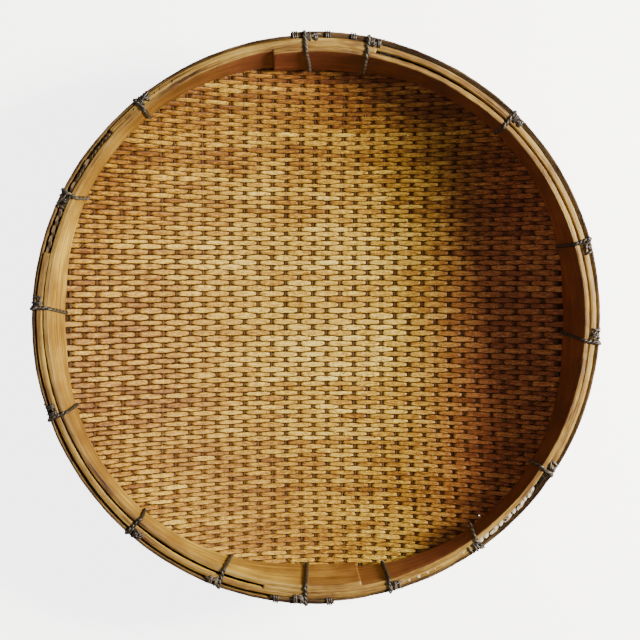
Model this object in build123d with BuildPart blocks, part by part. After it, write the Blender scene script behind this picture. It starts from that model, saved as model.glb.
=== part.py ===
"""Round winnowing basket: a bowl of plain-woven bamboo splints, clamped between two bent bamboo hoops.

Frame: +Z is up, out of the bowl. The origin is the centre of the base, on the floor.
The warp splints run along Y and the weft splints along X.
Bearings are in degrees, clockwise from +Y as seen from above.
All lengths are in millimetres.
"""

from build123d import *
from math import atan, ceil, cos, hypot, radians, sin, sqrt, tan
import os

# Bowl, measured on the middle surface of the weave
BASE_FLAT_RADIUS = 28.0  # the base is flat inside this radius
BOWL_RADIUS = 256.0  # where the bowl turns up between the hoops
BOWL_RISE = 82.0  # height of the bowl's edge above its base
CORNER_RISE = 24.0  # on the diagonals, between the two splint directions, the edge is this much higher
CORNER_REACH = 7.9  # and this much further out
CORNER_POWER = 4  # how late the diagonals start to rise
TURN_RADIUS = 16.0  # bend radius of the weave where it turns up
RIM_SLANT = 13.5  # the rim leans outwards, in degrees from upright
WEAVE_TOP = 131.8  # the splints are trimmed off here

# Splints
WARP_WIDTH = 2.4
WARP_THICKNESS = 1.6
WARP_PITCH = 14.75  # along the curve of the bowl
WEFT_THICKNESS = 1.0
WEFT_FILL = 0.92  # a weft's width as a share of its pitch
WEFT_PITCH = 4.45  # along the curve, far from the middle
WEFT_PITCH_EXTRA = 1.6  # the middle wefts are wider by this much
WEFT_PITCH_SPREAD = 60.0  # distance over which that extra width fades by half
WEFT_EDGE_MARGIN = 4.0  # the outermost wefts stop this far short of the bowl's edge
WEAVE_CLEARANCE = 0.2
FLOAT_BULGE = 0.15  # a float bows out this much further between the edges of its warp
END_MARGIN = 2.5  # the last bend of a weft stays this far below its trimmed end
KNOT_SPACING = 0.9  # two bends of a weft are at least this far apart

# How finely the curves are drawn
TRACE_STEP = 0.25  # step along the bowl's curve when the splints are spread over it
TRACE_TOLERANCE = 0.001
WARP_BENDS = 12  # points on each half of a warp, inside the bowl's edge
TURN_BENDS = 5  # points round the turn
CLIMB_BENDS = (0.15, 0.5, 1.0)  # points between the hoops, as shares of the climb
SPLINE_SPANS = 10  # a long curve is cut into splines with at most this many spans

# Rim
RIM_TOP = 137.5
INNER_HOOP_RADIUS = 263.7  # inner face, at the top edge
INNER_HOOP_THICKNESS = 4.1
INNER_HOOP_HEIGHT = 46.0
SCALLOP_DEPTH = 24.0  # the foot of the inner hoop is cut away by this much on the diagonals
SCALLOP_REACH = 165.0  # half the width of such a cut
DIAGONALS = (45, 135, 225, 315)  # bearings of the cuts
OUTER_HOOP_RADIUS = 279.6  # outer face, at the top edge
OUTER_HOOP_THICKNESS = 2.6
OUTER_HOOP_HEIGHT = 41.0
OUTER_HOOP_DROP = 0.8  # its top edge lies this far below the inner hoop's
FILLER_WIDTH = 3.9
FILLER_HEIGHT = 3.8
EDGE_ROUND = 0.5
LAP_GAP = 0.1  # play between two lapped ends

# Each hoop is two bent laths whose ends lap: (first bearing, last bearing)
INNER_RIGHT_SPAN = (-10.0, 192.0)
INNER_LEFT_SPAN = (171.0, 372.0)
OUTER_RIGHT_SPAN = (-6.0, 190.0)
OUTER_LEFT_SPAN = (177.0, 369.0)

# The filler strips leave two stretches of the weave's trimmed edge bare
FILLER_RIGHT_SPAN = (-48.0, 123.0)
FILLER_LEFT_SPAN = (145.0, 284.0)

# Ties
TIE_WIDTH = 4.6
TIE_THICKNESS = 1.4
TIE_CLEARANCE = 0.15
TIE_FOOT_PLAY = 0.8  # room under the inner hoop's foot
TIE_BEARINGS = (-3, 10, 43.5, 73.5, 94.5, 123.5, 144.5, 165, 183, 201, 222, 250, 272.5, 296.5, 320)
STITCH_WIDTH = 2.6
STITCH_THICKNESS = 0.9
BACK_STITCH_BEARINGS = (-5.2, 1.4, 6.6)  # round the outer hoop's lap only
FRONT_STITCH_BEARINGS = (177.9, 188.8)

# Worked out from the above
WALL_SLOPE = radians(90 - RIM_SLANT)
WEFT_LIFT = (WARP_THICKNESS + WEFT_THICKNESS) / 2 + WEAVE_CLEARANCE
MIDDLE_HEIGHT = WEFT_LIFT + WEFT_THICKNESS / 2 + FLOAT_BULGE
INNER_LAP = (INNER_HOOP_THICKNESS + LAP_GAP) / 2
OUTER_LAP = (OUTER_HOOP_THICKNESS + LAP_GAP) / 2
SCALLOP_RADIUS = (SCALLOP_REACH**2 + SCALLOP_DEPTH**2) / (2 * SCALLOP_DEPTH)


def diagonal_share(side, distance):
    """0 where a point of the weave lies straight along the splints, 1 where it lies on a diagonal.

    The point is `side` millimetres from the centre in plan, and this far out along the meridian.
    The share is the squared sine of twice the point's bearing.
    """
    across = min(abs(side) / max(min(distance, BOWL_RADIUS), TRACE_STEP), 1.0)
    return 4 * across**2 * (1 - across**2)


def edge_radius(diagonal):
    return BOWL_RADIUS + CORNER_REACH * diagonal


def meridian(distance, diagonal=0.0):
    """Radius, height and slope of the weave's middle surface, this far out from the centre.

    Up to the bowl's edge the distance is the radius. Past it, the distance runs along the curve.
    """
    edge = edge_radius(diagonal)
    span = edge - BASE_FLAT_RADIUS
    share = max(min(distance, edge) - BASE_FLAT_RADIUS, 0.0) / span
    corner_rise = CORNER_RISE * diagonal
    height = MIDDLE_HEIGHT + BOWL_RISE * share**2 + corner_rise * share**CORNER_POWER
    start = atan((2 * BOWL_RISE * share + CORNER_POWER * corner_rise * share ** (CORNER_POWER - 1)) / span)
    if distance <= edge:
        return distance, height, start
    turned = min(distance - edge, TURN_RADIUS * (WALL_SLOPE - start))
    slope = start + turned / TURN_RADIUS
    radius = edge + TURN_RADIUS * (sin(slope) - sin(start))
    height += TURN_RADIUS * (cos(start) - cos(slope))
    straight = distance - edge - turned
    return radius + straight * cos(slope), height + straight * sin(slope), slope


def turn_end(diagonal):
    """The distance along the meridian at which the weave has turned up as steep as the hoops."""
    edge = edge_radius(diagonal)
    return edge + TURN_RADIUS * (WALL_SLOPE - meridian(edge, diagonal)[2])


def weave_end(diagonal):
    """The distance along the meridian at which the splints are trimmed."""
    turned = turn_end(diagonal)
    return turned + (WEAVE_TOP - meridian(turned, diagonal)[1]) / sin(WALL_SLOPE)


def section_point(side, distance, lift):
    """A point of the weave in the upright plane `side` millimetres from the centre.

    Returns (run, height): run is the distance along the plane, and lift is measured square to the weave.
    """
    radius, height, slope = meridian(distance, diagonal_share(side, distance))
    run = sqrt(max(radius**2 - side**2, 0.0))
    along = -sin(slope) * run / radius
    up = cos(slope)
    scale = lift / (along**2 + up**2)
    return run + along * scale, height + up * scale


def spread_positions(pitch, limit):
    """Plan positions from the middle out to a radius, one pitch apart along the bowl's curve."""
    positions, place, travelled = [0.0], 0.0, 0.0
    target = pitch(0.0)
    while place < limit:
        travelled += TRACE_STEP / cos(meridian(place)[2])
        place += TRACE_STEP
        if travelled >= target:
            positions.append(place)
            target += pitch(travelled)
    return positions


def warp_pitch(_distance):
    return WARP_PITCH


def weft_pitch(distance):
    return WEFT_PITCH + WEFT_PITCH_EXTRA / (1 + (distance / WEFT_PITCH_SPREAD) ** 2)


def wall_distances(diagonal):
    """Distances along the meridian for the stretch that climbs between the hoops."""
    edge, turned, end = edge_radius(diagonal), turn_end(diagonal), weave_end(diagonal)
    turn = [edge + (turned - edge) * (k + 1) / TURN_BENDS for k in range(TURN_BENDS)]
    return turn + [turned + (end - turned) * share for share in CLIMB_BENDS]


def chain_splines(points):
    """Splines through the points, end to end, so that a long splint is made of short faces."""
    last = len(points) - 1
    pieces = ceil(last / SPLINE_SPANS)
    cuts = [round(last * k / pieces) for k in range(pieces + 1)]
    for start, end in zip(cuts, cuts[1:]):
        Spline(*points[start : end + 1])


def ribbon_sketch(plane, upper, lower, floor_height=None):
    """A closed outline on a plane, from two rows of points that run the same way.

    With a floor height, the underside is flat at that height between its two middle points.
    """
    half = len(lower) // 2
    with BuildSketch(plane) as outline:
        with BuildLine():
            chain_splines(upper)
            if floor_height is None:
                chain_splines(lower)
            else:
                left, right = ((run, floor_height) for run, _ in lower[half - 1 : half + 1])
                chain_splines(lower[: half - 1] + [left])
                Line(left, right)
                chain_splines([right] + lower[half + 1 :])
            Line(upper[0], lower[0])
            Line(upper[-1], lower[-1])
        make_face()
    return outline.sketch


def mirrored(points):
    """Points for positive run, completed with their mirror images."""
    return [(-run, height) for run, height in reversed(points)] + points


def warp_splint(place):
    """One straight warp splint, in the plane x = place."""
    half_thickness = WARP_THICKNESS / 2
    with BuildPart() as splint:
        for side in (place - WARP_WIDTH / 2, place + WARP_WIDTH / 2):
            edge = sqrt(BOWL_RADIUS**2 - side**2)
            runs = [edge * (k + 0.5) / WARP_BENDS for k in range(WARP_BENDS)]
            distances = [hypot(run, side) for run in runs]
            distances += wall_distances(diagonal_share(side, BOWL_RADIUS))
            faces = [
                mirrored([section_point(side, distance, lift) for distance in distances])
                for lift in (half_thickness, -half_thickness)
            ]
            add(ribbon_sketch(Plane.YZ.offset(side), *faces))
        loft(ruled=True)
    return splint.part


def distance_out(radius, diagonal):
    """The distance along the meridian at which the weave stands this far from the axis."""
    near = edge_radius(diagonal)
    if radius <= near:
        return radius
    far = weave_end(diagonal)
    while far - near > TRACE_TOLERANCE:
        middle = (near + far) / 2
        if meridian(middle, diagonal)[0] < radius:
            near = middle
        else:
            far = middle
    return near


def weft_knots(row, place, width, warp_places):
    """(x, lift) where a weft meets the edges of the warps it passes, from the middle out.

    Extra knots carry it round the turn and up between the hoops.
    """
    outer_side = abs(place) + width / 2
    diagonal = diagonal_share(place, BOWL_RADIUS)
    limit = sqrt(meridian(weave_end(diagonal) - END_MARGIN, diagonal)[0] ** 2 - outer_side**2)
    knots = []
    for column, warp in enumerate(warp_places):
        lift = WEFT_LIFT * (-1) ** (column + row + 1)
        edges = (warp - WARP_WIDTH / 2, warp + WARP_WIDTH / 2) if column else (WARP_WIDTH / 2,)
        knots += [(edge, lift) for edge in edges if edge < limit]
    bends = [meridian(distance, diagonal)[0] for distance in wall_distances(diagonal)]
    bends = [sqrt(radius**2 - place**2) for radius in bends if radius > abs(place)]
    for bend in bends:
        if bend < limit and min(abs(bend - x) for x, _ in knots) > KNOT_SPACING:
            before = max((knot for knot in knots if knot[0] < bend))
            after = min((knot for knot in knots if knot[0] > bend), default=before)
            share = (bend - before[0]) / (after[0] - before[0]) if after != before else 0
            knots.append((bend, before[1] + share * (after[1] - before[1])))
            knots.sort()
    return knots


def weft_splint(row, place, width, warp_places):
    """One weft splint, in the plane y = place. It passes over and under the warps in turn.

    The middle one is rubbed flat where it touches the floor.
    """
    knots = weft_knots(row, place, width, warp_places)
    with BuildPart() as splint:
        for side in (place - width / 2, place + width / 2):
            diagonal = diagonal_share(side, BOWL_RADIUS)
            distances = [distance_out(hypot(x, side), diagonal) for x, _ in knots] + [weave_end(diagonal)]
            lifts = [lift for _, lift in knots] + [knots[-1][1]]
            faces = []
            for half in (WEFT_THICKNESS / 2, -WEFT_THICKNESS / 2):
                heights = [lift + half for lift in lifts]
                faces.append(mirrored([section_point(side, *at) for at in zip(distances, heights)]))
            floor_height = 0 if row == 0 else None
            add(ribbon_sketch(Plane.XZ.offset(-side), *faces, floor_height))
        loft(ruled=True)
    return splint.part


def compass_plane(bearing, centre_y=0.0):
    """An upright plane through the axis: its x points out along the bearing and its y points up."""
    angle = radians(90 - bearing)
    return Plane(
        origin=(0, centre_y, 0), x_dir=(cos(angle), sin(angle), 0), z_dir=(sin(angle), -cos(angle), 0)
    )


def bent_lath(outline, span, centre_y=0.0):
    """A lath with this (radius, height) outline, bent round between two bearings."""
    with BuildPart() as lath:
        with BuildSketch(compass_plane(span[1], centre_y)):
            with BuildLine():
                Polyline(*outline, close=True)
            make_face()
        revolve(axis=Axis((0, centre_y, 0), (0, 0, 1)), revolution_arc=span[1] - span[0])
        fillet(lath.edges().filter_by(GeomType.CIRCLE), EDGE_ROUND)
    return lath.part


def band_outline(face_radius, thickness, top, height, slant):
    """A leaning band: face_radius is its inner face at the top edge."""
    lean = height * tan(radians(slant))
    return [
        (face_radius, top),
        (face_radius + thickness, top),
        (face_radius + thickness - lean, top - height),
        (face_radius - lean, top - height),
    ]


def scallop_rise(bearing):
    """How far the inner hoop's foot is cut away at this bearing."""
    off_diagonal = min(abs(bearing % 360 - diagonal) for diagonal in DIAGONALS)
    reach = INNER_HOOP_RADIUS * sin(radians(off_diagonal))
    return max(SCALLOP_DEPTH - SCALLOP_RADIUS + sqrt(SCALLOP_RADIUS**2 - reach**2), 0.0)


def inner_hoop(span, centre_y):
    """A lath of the inner hoop. Its foot is scalloped where the weave rises on the diagonals."""
    outline = band_outline(
        INNER_HOOP_RADIUS, INNER_HOOP_THICKNESS, RIM_TOP, INNER_HOOP_HEIGHT, RIM_SLANT
    )
    cut_centre = RIM_TOP - INNER_HOOP_HEIGHT + SCALLOP_DEPTH - SCALLOP_RADIUS
    with BuildPart() as hoop:
        add(bent_lath(outline, span, centre_y))
        for bearing in DIAGONALS:
            angle = radians(bearing)
            outward = Vector(sin(angle), cos(angle), 0)
            sideways = Vector(-cos(angle), sin(angle), 0)
            with BuildSketch(Plane(origin=outward * SCALLOP_REACH, x_dir=sideways, z_dir=outward)):
                with Locations((0, cut_centre)):
                    Circle(SCALLOP_RADIUS)
            extrude(amount=BOWL_RADIUS, mode=Mode.SUBTRACT)
    return hoop.part


def outer_hoop(span, centre_y):
    outline = band_outline(
        OUTER_HOOP_RADIUS - OUTER_HOOP_THICKNESS,
        OUTER_HOOP_THICKNESS,
        RIM_TOP - OUTER_HOOP_DROP,
        OUTER_HOOP_HEIGHT,
        RIM_SLANT,
    )
    return bent_lath(outline, span, centre_y)


def filler(span):
    """A split-cane strip that covers the trimmed edge of the weave."""
    inner = INNER_HOOP_RADIUS + INNER_HOOP_THICKNESS + INNER_LAP + LAP_GAP
    outline = band_outline(inner, FILLER_WIDTH, RIM_TOP, FILLER_HEIGHT, RIM_SLANT)
    return bent_lath(outline, span)


def lath_stand(bearing, right_span, left_span, lap):
    """How far a hoop's laths stand from its nominal radius at this bearing, away from the weave."""
    toward_back = cos(radians(bearing))
    stands = []
    if right_span[0] <= (bearing + 180) % 360 - 180 <= right_span[1]:
        stands.append(toward_back * lap)
    if bearing % 360 >= left_span[0] or bearing % 360 <= left_span[1] - 360:
        stands.append(-toward_back * lap)
    return max(stands)


def inner_stand(bearing):
    """How far inside its nominal radius the inner hoop stands here."""
    return lath_stand(bearing, INNER_RIGHT_SPAN, INNER_LEFT_SPAN, INNER_LAP)


def outer_stand(bearing):
    """How far outside its nominal radius the outer hoop stands here."""
    return lath_stand(bearing, OUTER_RIGHT_SPAN, OUTER_LEFT_SPAN, OUTER_LAP)


def loop_round(bearing, corners, width, thickness):
    """A closed loop of flat cane round a section of the rim."""
    with BuildPart() as loop:
        with BuildSketch(compass_plane(bearing)):
            with BuildLine():
                Polyline(*corners, close=True)
            make_face()
            offset(amount=TIE_CLEARANCE + thickness)
            with BuildLine():
                Polyline(*corners, close=True)
                offset(amount=TIE_CLEARANCE, kind=Kind.ARC)
            make_face(mode=Mode.SUBTRACT)
        extrude(amount=width / 2, both=True)
    return loop.part


def rim_tie(bearing):
    """A tie round both hoops. It passes through the weave just below them."""
    inside = INNER_HOOP_RADIUS - inner_stand(bearing)
    outside = OUTER_HOOP_RADIUS + outer_stand(bearing)
    lean = tan(radians(RIM_SLANT))
    drop = INNER_HOOP_HEIGHT - scallop_rise(bearing) + TIE_FOOT_PLAY
    outer_foot = RIM_TOP - OUTER_HOOP_DROP - OUTER_HOOP_HEIGHT
    outer_lean = OUTER_HOOP_HEIGHT * lean
    corners = [
        (inside, RIM_TOP),
        (outside + OUTER_HOOP_DROP * lean, RIM_TOP),
        (outside - outer_lean, outer_foot),
        (OUTER_HOOP_RADIUS - OUTER_HOOP_THICKNESS - OUTER_LAP - outer_lean, outer_foot),
        (INNER_HOOP_RADIUS + INNER_HOOP_THICKNESS + INNER_LAP - drop * lean, RIM_TOP - drop),
        (inside - drop * lean, RIM_TOP - drop),
    ]
    return loop_round(bearing, corners, TIE_WIDTH, TIE_THICKNESS)


def splice_stitch(bearing):
    """A stitch that holds the outer hoop's two lapped ends together."""
    stand = abs(outer_stand(bearing)) + LAP_GAP
    outline = band_outline(
        OUTER_HOOP_RADIUS - OUTER_HOOP_THICKNESS - stand,
        OUTER_HOOP_THICKNESS + 2 * stand,
        RIM_TOP - OUTER_HOOP_DROP,
        OUTER_HOOP_HEIGHT,
        RIM_SLANT,
    )
    return loop_round(bearing, outline, STITCH_WIDTH, STITCH_THICKNESS)


def save(part, name):
    part.label = name
    export_step(part, f"parts/{name}.step")


def save_group(solids, name):
    save(Compound(label=name, children=solids), name)


os.makedirs("parts", exist_ok=True)

# Warp splints, in three nodes from left to right
warp_side = spread_positions(warp_pitch, BOWL_RADIUS)
warp_places = [-x for x in reversed(warp_side[1:])] + warp_side
third = len(warp_places) // 3
save_group([warp_splint(x) for x in warp_places[:third]], "warp_splints_left")
save_group([warp_splint(x) for x in warp_places[third:-third]], "warp_splints_middle")
save_group([warp_splint(x) for x in warp_places[-third:]], "warp_splints_right")

# Weft splints, in five bands from the front of the basket to its back
weft_side = spread_positions(weft_pitch, BOWL_RADIUS)
wefts = {0: (0.0, WEFT_FILL * weft_side[1])}
for row in range(1, len(weft_side) - 1):
    room = (weft_side[row + 1] - weft_side[row - 1]) / 2
    if weft_side[row] + room < BOWL_RADIUS - WEFT_EDGE_MARGIN:
        wefts[row] = (weft_side[row], WEFT_FILL * room)
        wefts[-row] = (-weft_side[row], WEFT_FILL * room)
last_row = max(wefts)
middle_row = last_row // 4  # the middle band ends here
outer_row = last_row * 2 // 3  # and the edge bands start past here
weft_bands = {
    "weft_splints_front_edge": range(-last_row, -outer_row),
    "weft_splints_front": range(-outer_row, -middle_row),
    "weft_splints_middle": range(-middle_row, middle_row + 1),
    "weft_splints_back": range(middle_row + 1, outer_row + 1),
    "weft_splints_back_edge": range(outer_row + 1, last_row + 1),
}
for name, rows in weft_bands.items():
    save_group([weft_splint(row, *wefts[row], warp_side) for row in rows], name)

# Hoops and fillers
save(inner_hoop(INNER_RIGHT_SPAN, -INNER_LAP), "inner_hoop_right")
save(inner_hoop(INNER_LEFT_SPAN, INNER_LAP), "inner_hoop_left")
save(outer_hoop(OUTER_RIGHT_SPAN, OUTER_LAP), "outer_hoop_right")
save(outer_hoop(OUTER_LEFT_SPAN, -OUTER_LAP), "outer_hoop_left")
save(filler(FILLER_RIGHT_SPAN), "rim_filler_right")
save(filler(FILLER_LEFT_SPAN), "rim_filler_left")

# Ties and stitches
for number, bearing in enumerate(TIE_BEARINGS, start=1):
    save(rim_tie(bearing), f"rim_tie_{number:02d}")
save_group([splice_stitch(bearing) for bearing in BACK_STITCH_BEARINGS], "splice_stitches_back")
save_group([splice_stitch(bearing) for bearing in FRONT_STITCH_BEARINGS], "splice_stitches_front")
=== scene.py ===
"""A winnowing basket of woven bamboo splints, clamped between two bent hoops.

The CAD frame gives the height of the rim's hoops. Every visible surface is a mesh made here:
crowned, tapering splints that pass over and under each other, worn laths, and knotted cane ties.
Lengths are in millimetres and become metres when a mesh is made. Materials, lights and the camera
work in metres. Bearings are in degrees clockwise from the back, which is the top of the photo.
"""

import math

import bpy
import numpy as np
from mathutils import Matrix, Vector


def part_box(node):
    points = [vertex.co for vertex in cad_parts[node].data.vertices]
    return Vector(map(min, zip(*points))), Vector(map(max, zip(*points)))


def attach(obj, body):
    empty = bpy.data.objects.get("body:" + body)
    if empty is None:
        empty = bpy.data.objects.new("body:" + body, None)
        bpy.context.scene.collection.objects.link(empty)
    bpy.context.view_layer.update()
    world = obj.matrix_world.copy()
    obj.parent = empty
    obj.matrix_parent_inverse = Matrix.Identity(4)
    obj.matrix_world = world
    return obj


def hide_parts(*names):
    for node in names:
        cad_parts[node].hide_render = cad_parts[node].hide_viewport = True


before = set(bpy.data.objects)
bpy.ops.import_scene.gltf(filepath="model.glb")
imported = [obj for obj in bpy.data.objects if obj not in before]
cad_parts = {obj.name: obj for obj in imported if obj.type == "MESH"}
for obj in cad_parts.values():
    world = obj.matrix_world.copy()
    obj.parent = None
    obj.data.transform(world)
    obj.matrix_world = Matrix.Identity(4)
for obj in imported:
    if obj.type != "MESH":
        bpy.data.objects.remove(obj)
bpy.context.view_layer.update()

MM = 0.001
rng = np.random.default_rng(20)

# ---------------------------------------------------------------- driving sizes

BASE_FLAT_RADIUS = 28.0
BOWL_RADIUS = 256.0
BOWL_RISE = 82.0
CORNER_RISE = 24.0  # on the diagonals the bowl's edge stands this much higher
CORNER_REACH = 7.9  # and this much further out
CORNER_POWER = 4
SCALLOP_DEPTH = 24.0  # the inner hoop's foot is cut away to suit
SCALLOP_REACH = 165.0
TURN_RADIUS = 16.0
RIM_SLANT = 13.5
WARP_PITCH = 14.75
WARP_WIDTH = 2.4
WARP_THICKNESS = 1.6
WEFT_THICKNESS = 1.0
WEFT_PITCH = 4.45
WEFT_PITCH_EXTRA = 1.6
WEFT_PITCH_SPREAD = 60.0
WEFT_LIMIT = 258.5  # the outermost wefts tuck under the foot of the inner hoop
WEFT_SHORTEST = 16.0  # an end that would climb nearer to the splint's middle than this is left out
WEFT_LIFT = 1.5
DIVE, DIVE_AT = 9.0, 0.88  # how sharply a float dives under its next warp, and how late
MIDDLE_HEIGHT = 2.15  # of the weave's middle surface, at the middle of the base
WEAVE_TOP = 131.8
BARE_WEAVE_TOP = 135.6  # where no filler covers the trimmed ends they stand a little higher
TRIM_PLAY = (-0.8, 0.4)  # how unevenly the ends are trimmed
SWELL_FROM, SWELL_FULL = 131.6, 134.0  # heights between which the frayed tips get thicker
SWELL_THICKNESS, SWELL_LIFT = 1.8, -0.8  # what that adds to a splint's thickness and lift, as shares

RIM_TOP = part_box("inner_hoop_right")[1].z / MM
OUTER_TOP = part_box("outer_hoop_right")[1].z / MM
INNER_HOOP_RADIUS = 263.7
INNER_HOOP_THICKNESS = 4.2
INNER_HOOP_HEIGHT = 46.0
OUTER_HOOP_RADIUS = 279.6
OUTER_HOOP_THICKNESS = 2.6
OUTER_HOOP_HEIGHT = 41.0
FILLER_WIDTH = 3.9
FILLER_HEIGHT = 3.8
LAP_GAP = 0.1
INNER_LAP = (INNER_HOOP_THICKNESS + LAP_GAP) / 2
OUTER_LAP = (OUTER_HOOP_THICKNESS + LAP_GAP) / 2
FILLER_RADIUS = INNER_HOOP_RADIUS + INNER_HOOP_THICKNESS + INNER_LAP + LAP_GAP
RIM_MIDDLE = 270.0  # radius at which a sideways distance on the rim is measured

# The laths are drawn a little fuller than they are, so that no light shows between them
INNER_EXTRA = 0.6
FILLER_INWARD, FILLER_EXTRA = 0.7, 1.7

INNER_RIGHT_SPAN = (-10.0, 192.0)
INNER_LEFT_SPAN = (171.0, 372.0)
OUTER_RIGHT_SPAN = (-6.0, 190.0)
OUTER_LEFT_SPAN = (177.0, 369.0)
FILLER_RIGHT_SPAN = (-48.0, 123.0)
FILLER_LEFT_SPAN = (145.0, 284.0)
TIE_BEARINGS = (-3, 10, 43.5, 73.5, 94.5, 123.5, 144.5, 165, 183, 201, 222, 250, 272.5, 296.5, 320)
BACK_STITCH_BEARINGS = (-5.2, 1.4, 6.6)
FRONT_STITCH_BEARINGS = (177.9, 188.8)

WALL_ANGLE = math.radians(90 - RIM_SLANT)
LEAN = math.tan(math.radians(RIM_SLANT))
SCALLOP_RADIUS = (SCALLOP_REACH**2 + SCALLOP_DEPTH**2) / (2 * SCALLOP_DEPTH)
SLOPE_STEP = 0.05  # for slopes by differences


# ---------------------------------------------------------------- the surface of the weave

def diagonal_share(side, radius):
    """0 where the weave lies straight along the splints, 1 on the diagonals."""
    across = np.clip(np.abs(side) / np.clip(radius, 1e-6, BOWL_RADIUS), 0, 1)
    return 4 * across**2 * (1 - across**2)


def bowl(radius, diagonal):
    """Height of the weave's middle surface and the two ends of its turn, for arrays of radii."""
    edge = BOWL_RADIUS + CORNER_REACH * diagonal
    span = edge - BASE_FLAT_RADIUS
    share = np.clip(np.minimum(radius, edge) - BASE_FLAT_RADIUS, 0, None) / span
    corner_rise = CORNER_RISE * diagonal
    height = MIDDLE_HEIGHT + BOWL_RISE * share**2 + corner_rise * share**CORNER_POWER
    slope = (2 * BOWL_RISE * share + CORNER_POWER * corner_rise * share ** (CORNER_POWER - 1)) / span
    start = np.arctan(slope)
    return height, start, edge


def height_at(x, y, side):
    """Height of the middle surface above plan positions. side is the splint's own coordinate."""
    radius = np.hypot(x, y)
    height, start, edge = bowl(radius, diagonal_share(side, radius))
    beyond = np.clip(radius - edge, 0, None)
    turned = np.clip(np.sin(start) + beyond / TURN_RADIUS, None, math.sin(WALL_ANGLE))
    slope = np.arcsin(turned)
    rise = TURN_RADIUS * (np.cos(start) - np.cos(slope))
    straight = np.clip(beyond - TURN_RADIUS * (math.sin(WALL_ANGLE) - np.sin(start)), 0, None)
    return height + np.where(beyond > 0, rise, 0) + straight * math.tan(WALL_ANGLE)


def surface(x, y, along_x):
    """Points and unit normals of the middle surface above plan positions x, y."""
    step = SLOPE_STEP
    height = height_at(x, y, y if along_x else x)
    ahead, behind = (height_at(x + d, y, y if along_x else x + d) for d in (step, -step))
    above, below = (height_at(x, y + d, y + d if along_x else x) for d in (step, -step))
    points = np.stack([x, y, height], axis=-1)
    falls = (behind - ahead) / (2 * step), (below - above) / (2 * step)
    return points, unit(np.stack([*falls, np.ones_like(height)], axis=-1))


def spread_positions(pitch, limit, step=0.25):
    """Plan positions from the middle out, one pitch apart along the bowl's curve."""
    positions, place, travelled, target = [0.0], 0.0, 0.0, pitch(0.0)
    while place < limit:
        travelled += step / math.cos(float(bowl(place, 0.0)[1]))
        place += step
        if travelled >= target:
            positions.append(place)
            target += pitch(travelled)
    return np.array(positions)


def in_bare_stretch(bearing):
    """True where the filler strips leave the trimmed ends of the weave in view."""
    bearing = bearing % 360
    return FILLER_RIGHT_SPAN[1] < bearing < FILLER_LEFT_SPAN[0] or (
        FILLER_LEFT_SPAN[1] < bearing < FILLER_RIGHT_SPAN[0] + 360
    )


# ---------------------------------------------------------------- meshes

class Shape:
    """Collects vertices, faces and the two vector attributes that the materials read."""

    def __init__(self):
        self.points, self.faces, self.coords, self.marks, self.count = [], [], [], [], 0

    def sweep(self, rings, coords, marks, closed_ends=True):
        """Adds a tube. rings, coords and marks are arrays of shape (rings, points per ring, 3)."""
        length, around = rings.shape[:2]
        start = self.count
        index = start + np.arange(length * around).reshape(length, around)
        a, b = index[:-1], index[1:]
        quads = np.stack([a, np.roll(a, -1, 1), np.roll(b, -1, 1), b], axis=-1).reshape(-1, 4)
        self.faces.extend(map(tuple, quads.tolist()))
        if closed_ends:
            self.faces.append(tuple(index[0][::-1].tolist()))
            self.faces.append(tuple(index[-1].tolist()))
        self.points.append(rings.reshape(-1, 3))
        self.coords.append(coords.reshape(-1, 3))
        self.marks.append(marks.reshape(-1, 3))
        self.count += length * around

    def piece(self, name, material, slot, *replaced):
        points = np.concatenate(self.points) * MM
        mesh = bpy.data.meshes.new(name)
        mesh.from_pydata(points.tolist(), [], self.faces)
        for label, data in (("strip", self.coords), ("marks", self.marks)):
            layer = mesh.attributes.new(label, "FLOAT_VECTOR", "POINT")
            layer.data.foreach_set("vector", np.concatenate(data).astype(np.float32).ravel())
        mesh.polygons.foreach_set("use_smooth", [len(f) == 4 for f in self.faces])
        mesh.materials.append(material)
        mesh.update()
        made = bpy.data.objects.new(name, mesh)
        bpy.context.scene.collection.objects.link(made)
        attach(made, "root")
        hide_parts(*replaced)
        return made


def unit(vectors):
    return vectors / np.maximum(np.linalg.norm(vectors, axis=-1, keepdims=True), 1e-9)


# ---------------------------------------------------------------- splints

# A splint's section as (across, up) pairs, in half widths and half thicknesses
CROWN_ACROSS = np.array([-1.0, -0.86, -0.5, 0.0, 0.5, 0.86, 1.0, 0.72, 0.0, -0.72])
CROWN_HEIGHT = np.array([0.0, 0.58, 0.92, 1.0, 0.92, 0.58, 0.0, -0.9, -1.0, -0.9])
LEAST_SQUARE = 0.35  # on steep stretches a lift is stretched by no more than 1 / this
LEAST_SHARE = 0.45  # and a width by no more than 1 / this
SEEDS = 500  # a splint's noise starts somewhere between 0 and this


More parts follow.
